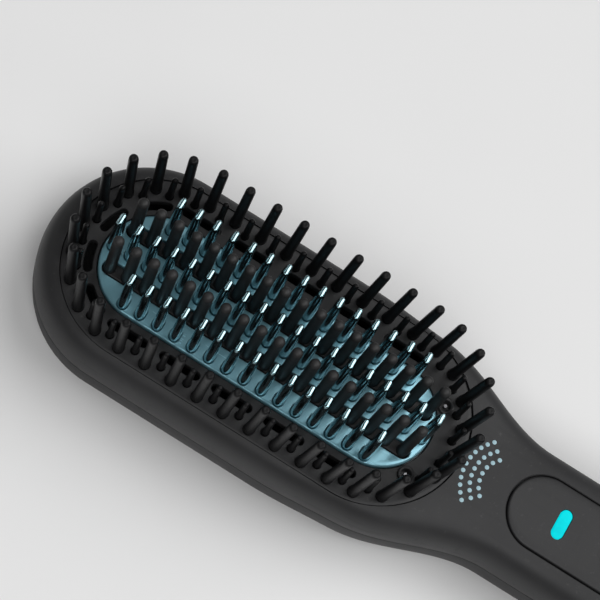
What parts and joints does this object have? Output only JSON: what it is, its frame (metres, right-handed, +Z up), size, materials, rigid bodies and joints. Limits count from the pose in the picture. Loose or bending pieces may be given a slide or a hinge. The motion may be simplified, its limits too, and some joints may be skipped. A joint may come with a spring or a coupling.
{
  "type": "hot air brush",
  "caption": "Hand-held hot air styling brush with a heated toothed plate, a ring of bristles, air slots, control buttons and a removable air inlet cap.",
  "frame": {"origin": "middle of the box round the brush, on the flat back that it lies on", "axes": "+X along the brush from the head's tip to the cord end, +Z up out of the bristle side, +Y across"},
  "size_m": [0.28, 0.057, 0.0506],
  "materials": {
    "shell": "soft-touch charcoal coating",
    "bed": "fine satin grain",
    "bristle": "satin nylon",
    "post": "satin with soft domed tips",
    "plate": "pale blue polished coating",
    "ceramic": "unglazed",
    "steel": "plain",
    "frame": "moulded",
    "collar": "satin",
    "panel": "satin inlay",
    "led": "lit cyan lens",
    "button": "satin silicone",
    "board": "solder mask",
    "mica": "pearly mica sheet",
    "fan_plastic": "moulded",
    "black_plastic": "moulded",
    "gland": "matte"
  },
  "bodies": {
    "brush": {"front_shell": "shell", "back_shell": "shell", "bristle_bed": "bed", "bristles_far": "bristle", "bristles_near": "bristle", "bristles_tip": "bristle", "bristles_neck": "bristle", "cool_posts_far": "post", "cool_posts_near": "post", "heated_plate": "plate", "plate_heater": "ceramic", "heater_clamp": "steel", "plate_frame": "frame", "ion_collar_far": "collar", "ion_collar_near": "collar", "ion_emitter": "steel", "ion_generator": "black_plastic", "control_panel": "panel", "led_lens": "led", "led_chip": "ceramic", "power_switch": "black_plastic", "heat_up_switch": "black_plastic", "heat_down_switch": "black_plastic", "circuit_board": "board", "heater_duct": "frame", "mica_lower": "mica", "mica_upper": "mica", "air_heater": "steel", "thermostat": "steel", "thermal_fuse": "steel", "fan_shroud": "fan_plastic", "fan_motor": "steel", "rear_bulkhead": "fan_plastic", "air_filter": "black_plastic", "screw_tip": "steel", "screw_neck_far": "steel", "screw_neck_near": "steel", "screw_handle_far": "steel", "screw_handle_near": "steel"},
    "fan": {"motor_shaft": "steel", "fan_impeller": "fan_plastic"},
    "power_button": {"power_button": "button"},
    "heat_up_button": {"heat_up_button": "button"},
    "heat_down_button": {"heat_down_button": "button"},
    "power_plunger": {"power_plunger": "frame"},
    "heat_up_plunger": {"heat_up_plunger": "frame"},
    "heat_down_plunger": {"heat_down_plunger": "frame"},
    "gland": {"cord_gland": "gland", "gland_clip": "steel"},
    "cap": {"inlet_cap": "shell"}
  },
  "joints": [
    {"name": "fan_spin", "type": "hinge", "parent": "brush", "child": "fan", "pos_m": [0.0733, 0, 0.0135], "axis": [1, 0, 0], "continuous": true},
    {"name": "power_press", "type": "slide", "parent": "brush", "child": "power_button", "axis": [0, 0, -1], "range_m": [0, 0.0006], "stiffness_N_per_m": 1500, "springref_m": -0.0002},
    {"name": "heat_up_press", "type": "slide", "parent": "brush", "child": "heat_up_button", "axis": [0, 0, -1], "range_m": [0, 0.0006], "stiffness_N_per_m": 1500, "springref_m": -0.0002},
    {"name": "heat_down_press", "type": "slide", "parent": "brush", "child": "heat_down_button", "axis": [0, 0, -1], "range_m": [0, 0.0006], "stiffness_N_per_m": 1500, "springref_m": -0.0002},
    {"name": "power_switch_press", "type": "slide", "parent": "brush", "child": "power_plunger", "axis": [0, 0, -1], "range_m": [0, 0.0006]},
    {"name": "heat_up_switch_press", "type": "slide", "parent": "brush", "child": "heat_up_plunger", "axis": [0, 0, -1], "range_m": [0, 0.0006]},
    {"name": "heat_down_switch_press", "type": "slide", "parent": "brush", "child": "heat_down_plunger", "axis": [0, 0, -1], "range_m": [0, 0.0006]},
    {"name": "gland_swivel", "type": "hinge", "parent": "brush", "child": "gland", "pos_m": [0.1286, 0, 0.0135], "axis": [1, 0, 0], "continuous": true},
    {"name": "cap_release", "type": "slide", "parent": "brush", "child": "cap", "axis": [1, 0, 0], "range_m": [0, 0.045]}
  ],
  "couplings": [
    {"joint": "power_switch_press", "follows": "power_press", "ratio": 1},
    {"joint": "heat_up_switch_press", "follows": "heat_up_press", "ratio": 1},
    {"joint": "heat_down_switch_press", "follows": "heat_down_press", "ratio": 1}
  ]
}
